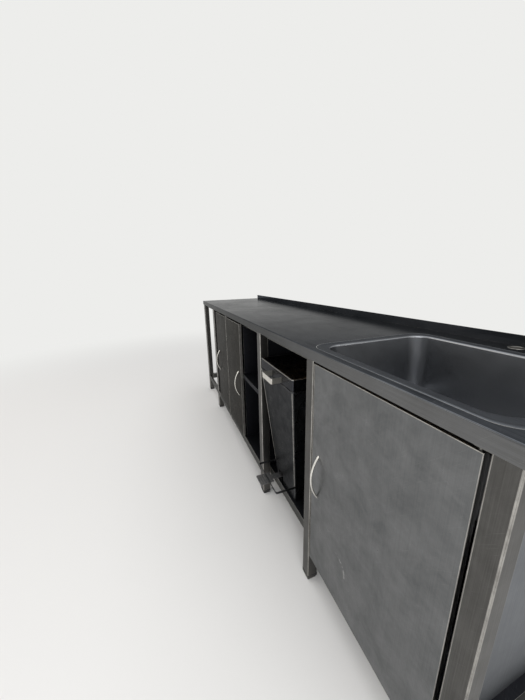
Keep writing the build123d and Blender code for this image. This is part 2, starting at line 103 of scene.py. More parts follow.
# %% [markdown]
# ## Brushed stainless steel
# Stainless sheet is rolled, then ground by a belt, which leaves fine parallel scratches called the grain. Light
# spreads across the grain, so the steel looks streaked along it. Hands and cloths leave cloudy patches where
# the shine is duller, and use leaves thin bright scratches that run any way. A large panel is never quite flat
# either, and a slow wave in it bends what it reflects. Each of these is a noise texture, stretched to the size
# of what it stands for. The real grain is near 0.2 mm wide, too fine to show from here, so it is drawn a few
# times wider. Metal keeps its default IOR.
#
# Clean metal turns into a mirror when it is seen along its face. A film of grease and fine scratches keeps a
# sheet in use dull there, which the specular tint sets as glance. Below a given height a piece can be painted
# paler: on the worktop's folded front this is a painted reflection, in the bowl painted light.

# %% Scratches and painted sheen
nick_width, nick_length, nick_turn, nick_colour = 0.9 * mm, 60 * mm, (0.5, 0.7, 0.4), "D8D8D6"
sheen_fade = 3 * mm


def scratch_and_sheen(tree, place, colour, scratch, painted_sheen):
    crossing = add(tree, "ShaderNodeMapping", {"Vector": place, "Rotation": nick_turn,
                                               "Scale": (nick_width, nick_length, nick_length)},
                   vector_type="TEXTURE")
    nicks = add(tree, "ShaderNodeTexNoise", {"Vector": crossing.outputs[0], "Scale": 1.0, "Detail": 1.0,
                                             "Distortion": 1.2}).outputs["Fac"]
    worn = add(tree, "ShaderNodeMapRange", {"Value": nicks, "From Min": 0.68, "From Max": 0.76,
                                            "To Max": scratch}).outputs[0]
    scored = add(tree, "ShaderNodeMix", {0: worn, 6: colour, 7: linear(nick_colour)},
                 data_type="RGBA").outputs[2]
    if not painted_sheen:
        return scored
    # below the given height the colour is painted paler: painted light, as a reflection on the worktop's front and
    # a highlight in the bowl
    height, paler, most = painted_sheen
    level = add(tree, "ShaderNodeSeparateXYZ", {"Vector": place}).outputs["Z"]
    below = add(tree, "ShaderNodeMapRange", {"Value": level, "From Min": height, "From Max": height - sheen_fade,
                                             "To Max": most}).outputs[0]
    return add(tree, "ShaderNodeMix", {0: below, 6: scored, 7: linear(paler)}, data_type="RGBA").outputs[2]


print("scratches", round(nick_width / mm, 1), "by", round(nick_length / mm), "mm")

# %% Brushed steel
grain_stretch, swell_size = 110, 170 * mm      # a scratch of the grain is 110 times longer than wide


def brushed_steel(name, bright, dull, grain, grain_width=1.2 * mm, streak=0.35, cloud=0.4, cloud_size=180 * mm,
                  roughness=0.3, smear=0.1, grain_depth=0.02 * mm, scratch=0.05, wave=0.0, glance=0.6,
                  painted_sheen=None):
    material, tree, shader, place = new_material(name)
    length, width = grain_stretch * grain_width, grain_width
    sizes = {"X": (length, width, width), "Y": (width, length, width), "Z": (width, width, length)}[grain]
    along = add(tree, "ShaderNodeMapping", {"Vector": place, "Scale": sizes}, vector_type="TEXTURE")
    grains = add(tree, "ShaderNodeTexNoise", {"Vector": along.outputs[0], "Scale": 1.0, "Detail": 3.0,
                                              "Roughness": 0.6}).outputs["Fac"]
    clouds = add(tree, "ShaderNodeTexNoise", {"Vector": place, "Scale": 1 / cloud_size, "Detail": 6.0,
                                              "Roughness": 0.68, "Distortion": 0.3}).outputs["Fac"]
    lines = add(tree, "ShaderNodeMapRange", {"Value": grains, "From Min": 0.3, "From Max": 0.7}).outputs[0]
    patches = add(tree, "ShaderNodeMapRange", {"Value": clouds, "From Min": 0.32, "From Max": 0.68}).outputs[0]
    base = add(tree, "ShaderNodeMath", {0: lines, 1: streak, 2: 0.5 - (streak + cloud) / 2},
               operation="MULTIPLY_ADD").outputs[0]
    share = add(tree, "ShaderNodeMath", {0: patches, 1: cloud, 2: base}, operation="MULTIPLY_ADD",
                use_clamp=True).outputs[0]
    colour = add(tree, "ShaderNodeMix", {0: share, 6: linear(dull), 7: linear(bright)}, data_type="RGBA")
    scratched_and_sheened = scratch_and_sheen(tree, place, colour.outputs[2], scratch, painted_sheen)
    gloss = add(tree, "ShaderNodeMapRange", {"Value": share, "To Min": roughness + smear,
                                             "To Max": roughness - smear / 2})
    swell = add(tree, "ShaderNodeTexNoise", {"Vector": place, "Scale": 1 / swell_size, "Detail": 1.0})
    panel = add(tree, "ShaderNodeBump", {"Height": swell.outputs["Fac"], "Strength": 1.0, "Distance": wave})
    relief = add(tree, "ShaderNodeBump", {"Height": grains, "Strength": 0.25, "Distance": grain_depth,
                                          "Normal": panel.outputs[0]})
    tree.links.new(scratched_and_sheened, shader.inputs["Base Color"])
    tree.links.new(gloss.outputs[0], shader.inputs["Roughness"])
    tree.links.new(relief.outputs[0], shader.inputs["Normal"])
    shader.inputs["Metallic"].default_value = 1.0
    shader.inputs["Specular Tint"].default_value = [glance] * 3 + [1.0]
    return material


print("a wave in a panel is", round(swell_size / mm), "mm long")

# %% [markdown]
# ## One steel, many surfaces
# All the steel is the same alloy, but each part shows another finish. The worktop is satin, and its dark tone
# is a painted reflection of a dark room; the tubes are ground bright, the doors are linished, and the sheet
# inside the cupboards is darkened as painted shade.

# %% The steels
apron_top, bowl_mouth = cad_high.z - 33 * mm, cad_high.z - 32.3 * mm
# the worktop's dark tone is a painted reflection of a dark room, and its folded front is painted paler as a
# painted reflection
worktop_steel = brushed_steel("satin stainless worktop", "62656A", "2C2E32", "X", roughness=0.19, smear=0.09,
                              grain_width=1.8 * mm, streak=0.5, cloud=0.45, cloud_size=240 * mm, scratch=0.1,
                              wave=0.5 * mm, glance=0.4, painted_sheen=(apron_top, "92918E", 0.36))
# the bowl is painted paler below its mouth: painted light on its mouth and inside
bowl_steel = brushed_steel("satin pressed stainless bowl", "64676C", "383A3E", "X", roughness=0.3,
                           cloud_size=90 * mm, glance=0.4, painted_sheen=(bowl_mouth, "A0A2A6", 0.7))
upright_steel = brushed_steel("ground stainless tube, upright", "696866", "464543", "Z", roughness=0.34,
                              cloud_size=120 * mm, glance=0.8)
rail_steel = brushed_steel("ground stainless tube, level", "6A6A68", "474746", "X", roughness=0.36)
cross_steel = brushed_steel("ground stainless tube, crosswise", "6A6A68", "474746", "Y", roughness=0.36)
# painted shade: the sheet inside the bays and cupboards is darkened where shade falls
tray_steel = brushed_steel("tray sheet, painted shade", "3E3F44", "27282C", "X", roughness=0.42)
panel_steel = brushed_steel("upright sheet, painted shade", "3C3D43", "26272B", "Z", roughness=0.42)
# painted light: the liner is paler than the other inner sheet, so that the bin beside it reflects more light
liner_steel = brushed_steel("liner sheet, painted light", "8F9297", "6E7175", "Z", roughness=0.4)
sink_door_steel = brushed_steel("linished stainless door", "7F8081", "5F6162", "Z", cloud_size=70 * mm,
                                streak=0.22, cloud=0.62, roughness=0.3, smear=0.12, scratch=0.07, wave=0.35 * mm,
                                glance=0.8)
# the paired doors take a darker, warmer steel than the sink door
pair_door_steel = brushed_steel("linished stainless door, darker", "5B5955", "3D3C3A", "Z", cloud_size=90 * mm,
                                streak=0.25, cloud=0.5, roughness=0.26, wave=0.35 * mm, glance=0.4)
bin_steel = brushed_steel("fingered stainless sheet", "616263", "3C3D40", "Z", cloud_size=45 * mm,
                          streak=0.25, cloud=0.65, roughness=0.28, smear=0.14, scratch=0.1, wave=0.3 * mm,
                          glance=0.4)
lid_steel = brushed_steel("dark satin stainless lid", "45464A", "2A2B2E", "X", cloud_size=60 * mm,
                          roughness=0.24, smear=0.12, wave=0.3 * mm)
hem_steel = brushed_steel("bright folded hem", "A09E9A", "7C7A77", "X", roughness=0.3, cloud_size=40 * mm)
# painted highlight: this brighter steel on bevels, trims and beads stands in for the light that a round edge
# catches
edge_highlight_steel = brushed_steel("edge steel, painted highlight", "BDBBB6", "7C7A77", "Z", roughness=0.34, cloud_size=45 * mm,
                           cloud=0.8)
# painted highlight: the bars and the strap are painted near white, standing in for the light they catch
handle_steel = brushed_steel("bright satin bar", "F2F0EA", "D2CFC8", "Z", grain_width=0.8 * mm, roughness=0.22,
                             smear=0.05, cloud_size=40 * mm, scratch=0.0, glance=0.95)
strap_steel = brushed_steel("satin strap, painted highlight", "E8E5DE", "B5B1AA", "X", grain_width=0.9 * mm, roughness=0.28,
                            smear=0.06, cloud_size=30 * mm, glance=0.95)
pedal_steel = brushed_steel("trodden stainless pedal", "A9A9AA", "6E6E70", "X", roughness=0.34,
                            cloud_size=25 * mm, cloud=0.6, glance=0.9)
small_steel = brushed_steel("satin stainless fittings", "8D8C89", "63625F", "X", roughness=0.3,
                            cloud_size=40 * mm)
weld_steel = brushed_steel("weld bead, wire brushed", "96938D", "68655F", "Z", roughness=0.4, cloud_size=6 * mm)
print(len(bpy.data.materials), "steels")

# %% [markdown]
# ## A scuff on the sink door
# Something that swung against the door left a curved scuff low on it. A point's distance from the middle of
# the curve, less the curve's radius, is near zero along a circle. One side of that circle is kept, and noise
# breaks it up, since a scuff skips over the hollows.

# %% Scuff the sink door
scuff_middle, scuff_radius, scuff_width = Vector((918 * mm, 0, 272 * mm)), 39 * mm, 5 * mm
scuff_towards, scuff_from, scuff_to = (0.8, 0, 0.6), 16 * mm, 38 * mm
skip_size, scuff_most, scuff_colour = 9 * mm, 0.6, "E0DFDC"
tree = sink_door_steel.node_tree
shader = tree.nodes["Principled BSDF"]
under = shader.inputs["Base Color"].links[0].from_socket
place = add(tree, "ShaderNodeTexCoord").outputs["Object"]
offset = add(tree, "ShaderNodeVectorMath", {0: place, 1: scuff_middle}, operation="SUBTRACT").outputs[0]
offset = add(tree, "ShaderNodeVectorMath", {0: offset, 1: (1, 0, 1)}, operation="MULTIPLY").outputs[0]
away = add(tree, "ShaderNodeVectorMath", {0: offset}, operation="LENGTH").outputs["Value"]
gap = add(tree, "ShaderNodeMath", {0: away, 1: scuff_radius}, operation="SUBTRACT")
gap = add(tree, "ShaderNodeMath", {0: gap.outputs[0]}, operation="ABSOLUTE")
line = add(tree, "ShaderNodeMapRange", {"Value": gap.outputs[0], "From Max": scuff_width, "To Min": 1,
                                        "To Max": 0})
side = add(tree, "ShaderNodeVectorMath", {0: offset, 1: scuff_towards},
           operation="DOT_PRODUCT").outputs["Value"]
side = add(tree, "ShaderNodeMapRange", {"Value": side, "From Min": scuff_from, "From Max": scuff_to})
skips = add(tree, "ShaderNodeTexNoise", {"Vector": place, "Scale": 1 / skip_size, "Detail": 3.0})
skips = add(tree, "ShaderNodeMapRange", {"Value": skips.outputs["Fac"], "From Min": 0.42, "From Max": 0.62,
                                         "To Max": scuff_most})
mask = add(tree, "ShaderNodeMath", {0: line.outputs[0], 1: side.outputs[0]}, operation="MULTIPLY")
mask = add(tree, "ShaderNodeMath", {0: mask.outputs[0], 1: skips.outputs[0]}, operation="MULTIPLY")
pale = add(tree, "ShaderNodeMix", {0: mask.outputs[0], 6: under, 7: linear(scuff_colour)}, data_type="RGBA")
tree.links.new(pale.outputs[2], shader.inputs["Base Color"])
print("scuff", round(scuff_radius / mm), "mm round")

# %% [markdown]
# ## Plastic, rubber, sealant and chipboard
# The feet are moulded black plastic with a fine grain from the mould, dusty near the floor. The board under the
# worktop is chipboard: flat chips of wood a few millimetres long in glue, which Voronoi cells of mixed browns
# imitate.

# %% Moulded plastic and rubber
dust_size, dust_colour, pit_depth = 30 * mm, "8A857C", 0.1 * mm


def moulded(name, colour, roughness, pit_size):
    material, tree, shader, place = new_material(name)
    pits = add(tree, "ShaderNodeTexNoise", {"Vector": place, "Scale": 1 / pit_size, "Detail": 2.0})
    dust = add(tree, "ShaderNodeTexNoise", {"Vector": place, "Scale": 1 / dust_size, "Detail": 4.0})
    worn = add(tree, "ShaderNodeMapRange", {"Value": dust.outputs["Fac"], "From Min": 0.45, "From Max": 0.8,
                                            "To Max": 0.35})
    tint = add(tree, "ShaderNodeMix", {0: worn.outputs[0], 6: linear(colour), 7: linear(dust_colour)},
               data_type="RGBA")
    relief = add(tree, "ShaderNodeBump", {"Height": pits.outputs["Fac"], "Strength": 0.3,
                                          "Distance": pit_depth})
    tree.links.new(tint.outputs[2], shader.inputs["Base Color"])
    tree.links.new(relief.outputs[0], shader.inputs["Normal"])
    shader.inputs["Roughness"].default_value = roughness
    return material


foot_plastic = moulded("moulded black polyethylene", "1B1B1C", 0.55, 1.5 * mm)
buffer_rubber = moulded("grey door buffer rubber", "3A3A3B", 0.7, 1.0 * mm)
sealant = moulded("grey silicone sealant", "5E5F60", 0.4, 3.0 * mm)
print("moulded:", ", ".join(material.name for material in (foot_plastic, buffer_rubber, sealant)))

# %% Chipboard
chip_size, fibre_size, chip_depth = 5 * mm, 1.5 * mm, 0.3 * mm
chipboard, tree, shader, place = new_material("raw chipboard")
chips = add(tree, "ShaderNodeTexVoronoi", {"Vector": place, "Scale": 1 / chip_size})
fibre = add(tree, "ShaderNodeTexNoise", {"Vector": place, "Scale": 1 / fibre_size, "Detail": 3.0})
tone = add(tree, "ShaderNodeMath", {0: chips.outputs["Color"], 1: fibre.outputs["Fac"]}, operation="MULTIPLY")
brown = add(tree, "ShaderNodeMix", {0: tone.outputs[0], 6: linear("7C6346"), 7: linear("C6A878")},
            data_type="RGBA")
grit = add(tree, "ShaderNodeBump", {"Height": chips.outputs["Distance"], "Strength": 0.4,
                                    "Distance": chip_depth})
tree.links.new(brown.outputs[2], shader.inputs["Base Color"])
tree.links.new(grit.outputs[0], shader.inputs["Normal"])
shader.inputs["Roughness"].default_value = 0.85
print("chips", round(chip_size / mm), "mm long")

# %% [markdown]
# ## Finishes of the solids
# Each solid from the frame takes the finish that its grain runs in: up the legs, along the rails, across
# the cross rails.

# %% Give each solid its finish
finishes = {
    worktop_steel: ["worktop_skin"],
    bowl_steel: ["sink_bowl", "sink_waste"],
    chipboard: ["worktop_board"],
    upright_steel: ["legs_front", "legs_back"],
    rail_steel: ["top_rails_front", "low_rails_front", "low_rails_set_back", "top_rail_back", "low_rail_back"],
    cross_steel: ["cross_rails"],
    foot_plastic: ["feet"],
    tray_steel: ["floor_cupboards", "floor_bin", "floor_sink", "cupboard_shelf", "open_shelf"],
    panel_steel: ["cupboard_side_far", "cupboard_side_near", "shelf_side", "cupboard_back", "cupboard_post"],
    liner_steel: ["sink_liner"],
    sink_door_steel: ["door_sink"],
    pair_door_steel: ["door_pair_near", "door_pair_far"],
    handle_steel: ["handle_sink", "handle_pair_near", "handle_pair_far"],
    strap_steel: ["bin_lid_pull"],
    small_steel: ["pivot_pair_low", "pivot_pair_top", "pivot_sink_low", "pivot_sink_top", "bin_hinge"],
    pedal_steel: ["bin_pedal"],
    bin_steel: ["bin_base", "bin_body"],
    lid_steel: ["bin_lid"],
}
plain_edged = (chipboard, foot_plastic, handle_steel, small_steel)
for material, names in finishes.items():
    for name in names:
        nodes[name].data.materials.clear()
        nodes[name].data.materials.append(material)
        # the second slot holds the painted edge highlight
        if material not in plain_edged:
            nodes[name].data.materials.append(edge_highlight_steel)
left = [name for name, node in nodes.items() if not node.data.materials]
print("without a finish:", left)

# %% [markdown]
# ## Soft edges and smooth curves
# No folded or sawn edge is truly sharp, and a thin bright line runs along each one. A solid from the frame
# is loose triangles, so its corners are welded first, then bevelled. Where a piece has a second finish, the
# bevel gives its new faces that one: a brighter steel, a painted highlight that stands in for the light which
# a round edge catches. A small node group shades the piece smooth and keeps the edges over 35 degrees sharp,
# and weighted normals keep the flats flat beside the bevels.

# %% Smooth shading by angle
sharp_fold, bevelled_fold, same_place, fine_edge = math.radians(35), math.radians(40), 0.01 * mm, 0.3 * mm
by_angle = bpy.data.node_groups.new("shade smooth by angle", "GeometryNodeTree")
by_angle.interface.new_socket("Geometry", in_out="INPUT", socket_type="NodeSocketGeometry")
by_angle.interface.new_socket("Geometry", in_out="OUTPUT", socket_type="NodeSocketGeometry")
shape = add(by_angle, "NodeGroupInput").outputs[0]
round_faces = add(by_angle, "GeometryNodeSetShadeSmooth", {"Geometry": shape}, domain="FACE")
fold = add(by_angle, "GeometryNodeInputMeshEdgeAngle").outputs["Unsigned Angle"]
sharp = add(by_angle, "FunctionNodeCompare", {0: fold, 1: sharp_fold}, data_type="FLOAT",
            operation="GREATER_THAN")
kept = add(by_angle, "GeometryNodeSetShadeSmooth", {"Geometry": round_faces.outputs[0],
                                                    "Selection": sharp.outputs[0], "Shade Smooth": False},
           domain="EDGE")
add(by_angle, "NodeGroupOutput", {0: kept.outputs[0]})
print(by_angle.name, "over", round(math.degrees(sharp_fold)), "degrees")

# %% Soften a piece


def soften(solid, width, loose=True):
    if loose:
        joined = solid.modifiers.new("weld", "WELD")
        joined.merge_threshold = same_place
    if width:
        edge = solid.modifiers.new("edge", "BEVEL")
        edge.width, edge.segments, edge.limit_method = width, 2, "ANGLE"
        edge.angle_limit, edge.harden_normals = bevelled_fold, False
        edge.use_clamp_overlap = True
        # the bevel's faces take the last slot, which is the painted edge highlight where a piece has one
        edge.material = len(solid.data.materials) - 1
    shading = solid.modifiers.new("shading", "NODES")
    shading.node_group = by_angle
    flats = solid.modifiers.new("flats", "WEIGHTED_NORMAL")
    flats.keep_sharp = True


edge_widths = {
    "worktop_skin": 0.9 * mm, "worktop_board": 0.3 * mm, "feet": 1.5 * mm,
    "legs_front": 1.3 * mm, "legs_back": 1.3 * mm, "cross_rails": 1.0 * mm,
    "top_rails_front": 1.0 * mm, "low_rails_front": 1.2 * mm, "low_rails_set_back": 1.2 * mm,
    "top_rail_back": 1.0 * mm, "low_rail_back": 1.2 * mm,
    "door_sink": 0.7 * mm, "door_pair_near": 0.7 * mm, "door_pair_far": 0.7 * mm, "bin_body": 0.7 * mm,
    "bin_pedal": 0.5 * mm, "bin_lid_pull": 0.8 * mm, "bin_lid": 0.5 * mm, "sink_waste": 0.2 * mm,
}
for name, node in nodes.items():
    soften(node, edge_widths.get(name, fine_edge))
print("softened", len(nodes), "solids")

# %% [markdown]
# ## A rounded ring, the start of every pressed shape
# A bowl, a bin and a lid are all rounded rectangles that change size from level to level. One ring is a square
# whose four corners are bevelled into arcs. Rings with the same number of corners bridge into a clean skin of
# four-sided faces. A round edge is a run of rings on an arc, and a hoop is a skin whose last ring meets its
# first. A level is written as length, width, corner radius and height.

# %% Rings and skins


def ring(bm, centre, length, width, radius, height, steps=10):
    made = bmesh.ops.create_grid(bm, x_segments=1, y_segments=1, size=0.5)
    bmesh.ops.scale(bm, vec=(length, width, 1), verts=made["verts"])
    arcs = bmesh.ops.bevel(bm, geom=made["verts"], offset=radius, offset_type="OFFSET", segments=steps,
                           profile=0.5, affect="VERTICES", material=-1)
    face = [f for f in bm.faces if all(v in arcs["verts"] for v in f.verts)][0]
    verts = list(face.verts)
    bmesh.ops.translate(bm, vec=(centre[0], centre[1], height), verts=verts)
    bmesh.ops.delete(bm, geom=[face], context="FACES_ONLY")
    return [e for e in bm.edges if e.verts[0] in verts and e.verts[1] in verts]


def skin(levels, centre, steps=10):
    bm = bmesh.new()
    before = None
    for length, width, radius, height in levels:
        edges = ring(bm, centre, length, width, radius, height, steps)
        if before:
            bmesh.ops.bridge_loops(bm, edges=before + edges)
        before = edges
    bmesh.ops.remove_doubles(bm, verts=bm.verts[:], dist=same_place)
    bmesh.ops.recalc_face_normals(bm, faces=bm.faces[:])
    return bm


hoop_steps = 6


def hoop(levels, centre, steps=hoop_steps):
    return skin(levels + levels[:1], centre, steps)


print("a hoop's ring has", 4 * (hoop_steps + 1), "corners")

# %% Arcs of rings


def quarter(steps):
    return [math.radians(90 * k / steps) for k in range(steps + 1)]


def round_edge(length, width, corner, radius, height, start, end, steps=5):
    rings = []
    for k in range(steps + 1):
        turn = math.radians(start + (end - start) * k / steps)
        out = radius * math.cos(turn)
        rings.append((length + 2 * out, width + 2 * out, corner + out, height + radius * math.sin(turn)))
    return rings


print("a quarter turn in 4 steps:", [round(math.degrees(turn), 1) for turn in quarter(4)])

# %% [markdown]
# ## From a mesh to a piece
# A finished mesh becomes an object at the origin, takes its finish, and rides on the body that carries it, so
# that a hinge turns it. Its slot is the finish that it has in the record.

# %% Make a piece


def put_in_scene(bm, name):
    mesh = bpy.data.meshes.new(name)
    bm.to_mesh(mesh)
    bm.free()
    made = bpy.data.objects.new(name, mesh)
    bpy.context.scene.collection.objects.link(made)
    return made


def piece(bm, name, body, material, soft_edge=0):
    made = put_in_scene(bm, name)
    made.data.materials.append(material)
    soften(made, soft_edge, loose=False)
    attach(made, body)
    print(name, "has", len(made.data.vertices), "corners and rides on", body)
    return made


# %% [markdown]
# ## The sink bowl
# A sink is pressed from one sheet: a flat rim with a low bead near its edge, a rolled mouth, walls that lean in
# a little so that the punch comes out again, and a wide radius at the floor. Each turn is a quarter circle,
# written as a few rings. The skin is open at the rim and at the waste, so its faces may come out looking down,
# and they are then all turned over before the sheet gets its thickness.

# %% List the bowl's rings
bowl_low, bowl_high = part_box("sink_bowl")
bowl_centre = (bowl_low + bowl_high) / 2
rim_width, rim_corner, sheet = 28 * mm, 55 * mm, 2 * mm
mouth_radius, floor_radius, draft, bead_height = 6 * mm, 28 * mm, 3 * mm, 1.2 * mm
waste_opening, waste_fall, rim_lift = 92 * mm, 0.2 * mm, 0.1 * mm
rim_x, rim_y = bowl_high.x - bowl_low.x, bowl_high.y - bowl_low.y
bowl_x, bowl_y = rim_x - 2 * rim_width, rim_y - 2 * rim_width
top, floor_z = bowl_high.z - rim_lift, bowl_low.z + sheet
bead = ((0.3, 0), (2, 0.7), (4, 1), (6, 1), (8.5, 0.7), (11, 0))      # inset in mm, share of the bead's height
levels = [(rim_x - 2 * inset * mm, rim_y - 2 * inset * mm, rim_corner, top + share * bead_height)
          for inset, share in bead]
for turn in quarter(4):
    inward = mouth_radius * (math.sin(turn) - 1)
    down = mouth_radius * (1 - math.cos(turn))
    inset = -2 * inward - 2 * sheet
    levels.append((bowl_x + inset, bowl_y + inset, rim_corner - sheet - inward, top - down))
for turn in quarter(6):
    inset = 2 * (sheet + draft + floor_radius * (1 - math.cos(turn)))
    height = floor_z + floor_radius * (1 - math.sin(turn))
    levels.append((bowl_x - inset, bowl_y - inset, rim_corner - 2 * sheet - inset / 4, height))
levels.append((waste_opening, waste_opening, waste_opening / 2 - 0.1 * mm, floor_z - waste_fall))
print("bowl", len(levels), "rings")

# %% Press the bowl
bm = skin(levels, bowl_centre)
if any(face.normal.z < -0.5 for face in bm.faces):
    bmesh.ops.reverse_faces(bm, faces=bm.faces[:])
bowl = piece(bm, "pressed_bowl", "counter", bowl_steel)
wall = bowl.modifiers.new("sheet", "SOLIDIFY")
wall.thickness, wall.offset = 1.2 * mm, -1
bowl.modifiers.move(len(bowl.modifiers) - 1, 0)
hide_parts("sink_bowl")

# %% [markdown]
# ## Sealant and ferrule
# Water must not reach the board. A line of grey silicone, smoothed with a wet finger, closes the seam between
# the rim and the worktop. The tap hole has a thin turned ferrule over the cut edge of the board. Both are
# hoops, each drawn by the few corners of its section.

# %% Seal the sink's seam
seal = ((-2, -1.4), (1.6, -1.4), (1.6, 0.1), (0.2, 0.5), (-2, -0.2))      # wider than the rim, above it, in mm
seam = [(rim_x + wider * mm, rim_y + wider * mm, rim_corner, bowl_high.z + above * mm) for wider, above in seal]
piece(hoop(seam, bowl_centre, steps=10), "sink_sealant", "counter", sealant)

# %% Line the tap hole
tap_set_back, nearly_round = 77 * mm, 0.998
tap_place = Vector((bowl_centre.x, bowl_high.y - rim_width + tap_set_back, 0))
board_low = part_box("worktop_board")[0].z
section = ((17.3, board_low + 0.5 * mm), (17.3, bowl_high.z - 0.1 * mm), (20.0, bowl_high.z + 0.05 * mm),
           (19.6, bowl_high.z + 0.8 * mm), (16.8, bowl_high.z + 0.95 * mm), (16.2, bowl_high.z + 0.3 * mm),
           (16.2, board_low + 0.2 * mm))      # radius in mm, height
ferrule = [(2 * radius * mm, 2 * radius * mm, nearly_round * radius * mm, z) for radius, z in section]
piece(hoop(ferrule, tap_place, steps=8), "tap_hole_ferrule", "counter", hem_steel)

# %% [markdown]
# ## Bow handles
# Each handle is a round bar bent to an arc, whose ends run into the face of the door at a slant. A circle that
# is turned about the arc's centre step by step, and bridged to the one before, makes the bar with the right
# bend and without any list of points. A spin would do so in one call, but it numbers the corners anew in each
# run, and then the flat ends are not cut into the same triangles. The circles go a little too far at both
# ends, and a cut level with the door's inside gives the slanted ends.

# %% Bend a bar
bar_radius, end_depth, overshoot = 3.4 * mm, 1.5 * mm, 0.04      # overshoot in radians at each end
bar_sides, bends = 20, 32


def bend_bar(low, high, end_y):
    half = (high.z - low.z) / 2 - bar_radius / 2
    reach = end_y - low.y - bar_radius
    arc_radius = (half ** 2 + reach ** 2) / (2 * reach)
    sweep = 2 * math.asin(half / arc_radius)
    centre = Vector(((low.x + high.x) / 2, end_y - reach + arc_radius, (low.z + high.z) / 2))
    bm = bmesh.new()
    before = None
    for k in range(bends + 1):
        turn = (sweep + 2 * overshoot) * (k / bends - 0.5)
        circle = bmesh.ops.create_circle(bm, radius=bar_radius, segments=bar_sides)["verts"]
        bmesh.ops.translate(bm, vec=centre - Vector((0, arc_radius, 0)), verts=circle)
        bmesh.ops.rotate(bm, cent=centre, matrix=Matrix.Rotation(turn, 3, "X"), verts=circle)
        edges = [e for e in bm.edges if e.verts[0] in circle and e.verts[1] in circle]
        if before:
            bmesh.ops.bridge_loops(bm, edges=before + edges)
        before = edges
    bmesh.ops.bisect_plane(bm, geom=bm.verts[:] + bm.edges[:] + bm.faces[:], plane_co=(0, end_y, 0),
                           plane_no=(0, 1, 0), clear_outer=True)
    bmesh.ops.holes_fill(bm, edges=[e for e in bm.edges if e.is_boundary])
    bmesh.ops.recalc_face_normals(bm, faces=bm.faces[:])
    print("arc radius", round(arc_radius / mm), "mm")
    return bm


# %% Put a handle on each door
doors_of = {"handle_sink": ("door_sink", "sink_door"), "handle_pair_near": ("door_pair_near", "near_door"),
            "handle_pair_far": ("door_pair_far", "far_door")}
for name, (door, body) in doors_of.items():
    low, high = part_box(name)
    end_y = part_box(door)[0].y + end_depth
    handle = piece(bend_bar(low, high, end_y), "bow_" + name, body, handle_steel)
    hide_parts(name)

# %% [markdown]
# ## Trims on the doors' free edges
# The edge that is grasped gets a thin channel, pressed from strip, whose bright steel is a painted highlight.
# A box has the face towards the door sunk, which leaves a channel with closed ends round the door's edge. The
# free edge is the one nearer to the handle, on the left or on the right.

# %% Trim the doors' free edges
lip, strip = 3 * mm, 0.4 * mm
fold, channel_depth = 1.2 * strip, lip * 0.95
for name, (door, body) in doors_of.items():
    low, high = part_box(door)
    grip = (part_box(name)[0].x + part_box(name)[1].x) / 2
    free, inward = (low.x, 1) if grip - low.x < high.x - grip else (high.x, -1)
    bm = bmesh.new()
    box = bmesh.ops.create_cube(bm, size=1)["verts"]
    bmesh.ops.scale(bm, vec=(lip + strip, high.y - low.y + 2 * strip, high.z - low.z + 2 * strip), verts=box)
    bmesh.ops.translate(bm, vec=(free + inward * (lip - strip) / 2, (low.y + high.y) / 2, (low.z + high.z) / 2),
                        verts=box)
    mouth = max(bm.faces, key=lambda f: inward * f.normal.x)
    bmesh.ops.inset_region(bm, faces=[mouth], thickness=fold)
    bmesh.ops.translate(bm, vec=(-inward * channel_depth, 0, 0), verts=list(mouth.verts))
    trim = "edge_trim_" + name.removeprefix("handle_")
    piece(bm, trim, body, edge_highlight_steel, soft_edge=0.15 * mm)
    print(trim, "at", round(free / mm), "mm")

# %% [markdown]
# ## The bin's rim and seam
# The body's top edge is rolled over a wire, so that it is stiff and does not cut. A narrow band covers the
# seam between body and base.

# %% Roll the rim and the band
body_low, body_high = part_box("bin_body")
base_low, base_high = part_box("bin_base")
bin_corner, roll = 8 * mm, 2.1 * mm
bin_centre = (body_low + body_high) / 2
body_x, body_y = body_high.x - body_low.x, body_high.y - body_low.y
rim = round_edge(body_x, body_y, bin_corner, roll, body_high.z, -90, 90, steps=8)
piece(hoop(rim, bin_centre), "bin_rolled_rim", "counter", bin_steel)

seam_x = 2 * (base_high.x - bin_centre.x)
seam_y = body_y + 2 * (base_low.y - body_low.y)
band_half, band_step, band_tuck = 5 * mm, 0.8 * mm, 1 * mm
band = [(seam_x - band_tuck, seam_y - band_tuck, bin_corner, base_high.z - band_half),
        (seam_x + band_step, seam_y + band_step, bin_corner, base_high.z - band_half),
        (seam_x + 3 * band_step, seam_y + 2 * band_step, bin_corner, base_high.z),
        (seam_x + 4 * band_step, seam_y + 3 * band_step, bin_corner, base_high.z + band_half),
        (seam_x - band_tuck, seam_y - band_tuck, bin_corner, base_high.z + band_half)]
piece(hoop(band, bin_centre), "bin_seam_band", "counter", bin_steel)

# %% [markdown]
# ## The bin's corners
# The body's walls meet at four upright corners, and each is closed by a brazed bead, whose bright steel is a
# painted highlight along the corner. The body widens upwards, so each bead is a rod that leans from the base's
# corner to the body's. It is sunk into the corner, so that only a thin line of it shows.

# %% Bead the corners of the bin
bm = bmesh.new()
bead_radius, sunk, bead_short = 1.9 * mm, 2.0 * mm, 3 * mm
for side in (-1, 1):
    for foot_y, head_y, end in ((base_low.y, body_low.y, -1), (base_high.y, body_high.y, 1)):
        foot = Vector((bin_centre.x + side * (seam_x / 2 - sunk), foot_y - end * sunk, base_high.z + band_half))
        tip = Vector((bin_centre.x + side * (body_x / 2 - sunk), head_y - end * sunk, body_high.z - bead_short))
        rod = bmesh.ops.create_cone(bm, cap_ends=True, segments=12, radius1=bead_radius, radius2=bead_radius,
                                    depth=(tip - foot).length)
        lean = Vector((0, 0, 1)).rotation_difference(tip - foot).to_matrix()
        bmesh.ops.rotate(bm, cent=(0, 0, 0), matrix=lean, verts=rod["verts"])
        bmesh.ops.translate(bm, vec=(foot + tip) / 2, verts=rod["verts"])
piece(bm, "bin_corner_beads", "counter", edge_highlight_steel)
